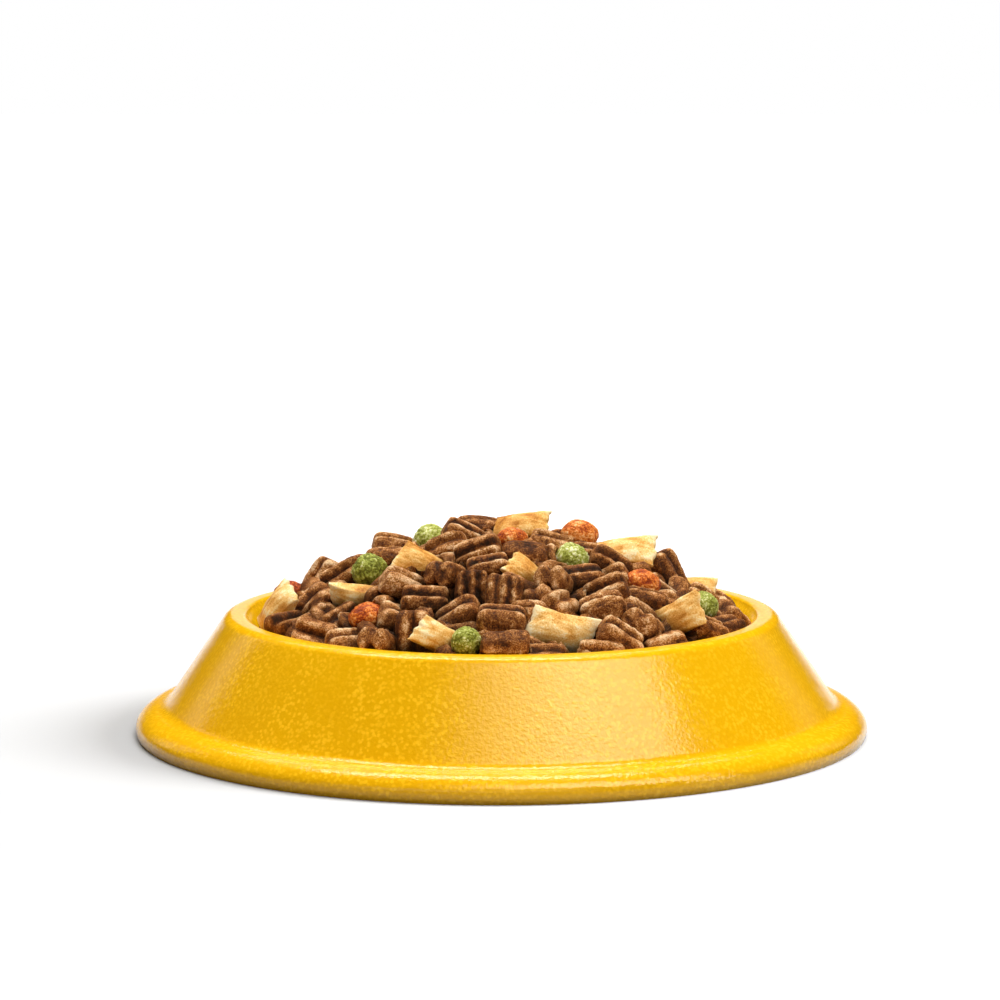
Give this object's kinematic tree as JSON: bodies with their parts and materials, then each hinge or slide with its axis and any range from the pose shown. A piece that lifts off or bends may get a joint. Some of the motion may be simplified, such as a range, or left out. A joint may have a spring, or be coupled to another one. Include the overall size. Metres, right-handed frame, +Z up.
{
  "type": "filled pet food bowl",
  "caption": "Flared one-piece plastic pet bowl heaped with mixed dry food: brown grooved bars, green balls, orange nuggets and yellow pillows.",
  "frame": {"origin": "middle of the foot, on the surface that the bowl stands on", "axes": "+Z up along the bowl's turned axis, -Y towards the front of the heap, +X to its right"},
  "size_m": [0.22, 0.22, 0.0657],
  "materials": {
    "yellow_plastic": "glossy with a fine orange-peel texture and pale speckles",
    "brown_kibble": "porous and matt",
    "green_kibble": "crumbly and matt",
    "orange_kibble": "crumbly and matt",
    "yellow_kibble": "baked and streaky"
  },
  "bodies": {
    "root": {"bowl": "yellow_plastic", "kibble_bed": "brown_kibble", "brown_bar_01": "brown_kibble", "brown_bar_02": "brown_kibble", "brown_bar_03": "brown_kibble", "brown_bar_04": "brown_kibble", "brown_bar_05": "brown_kibble", "brown_bar_06": "brown_kibble", "brown_bar_07": "brown_kibble", "brown_bar_08": "brown_kibble", "brown_bar_09": "brown_kibble", "brown_bar_10": "brown_kibble", "brown_bar_11": "brown_kibble", "brown_bar_12": "brown_kibble", "brown_bar_13": "brown_kibble", "brown_bar_14": "brown_kibble", "brown_bar_15": "brown_kibble", "brown_bar_16": "brown_kibble", "brown_bar_17": "brown_kibble", "brown_bar_18": "brown_kibble", "brown_bar_19": "brown_kibble", "brown_bar_20": "brown_kibble", "brown_bar_21": "brown_kibble", "brown_bar_22": "brown_kibble", "brown_bar_23": "brown_kibble", "brown_bar_24": "brown_kibble", "brown_bar_25": "brown_kibble", "brown_bar_26": "brown_kibble", "brown_bar_27": "brown_kibble", "brown_bar_28": "brown_kibble", "brown_bar_29": "brown_kibble", "brown_bar_30": "brown_kibble", "brown_bar_31": "brown_kibble", "brown_bar_32": "brown_kibble", "brown_bar_33": "brown_kibble", "brown_bar_34": "brown_kibble", "brown_bar_35": "brown_kibble", "brown_bar_36": "brown_kibble", "brown_bar_37": "brown_kibble", "brown_triple_bar_01": "brown_kibble", "brown_triple_bar_02": "brown_kibble", "green_ball_01": "green_kibble", "green_ball_02": "green_kibble", "green_ball_03": "green_kibble", "green_ball_04": "green_kibble", "green_ball_05": "green_kibble", "orange_nugget_01": "orange_kibble", "orange_nugget_02": "orange_kibble", "orange_nugget_03": "orange_kibble", "orange_nugget_04": "orange_kibble", "orange_nugget_05": "orange_kibble", "yellow_pillow_01": "yellow_kibble", "yellow_pillow_02": "yellow_kibble", "yellow_pillow_03": "yellow_kibble", "yellow_pillow_04": "yellow_kibble", "yellow_pillow_05": "yellow_kibble", "yellow_pillow_06": "yellow_kibble", "yellow_pillow_07": "yellow_kibble", "yellow_pillow_08": "yellow_kibble", "yellow_pillow_09": "yellow_kibble"}
  },
  "joints": []
}
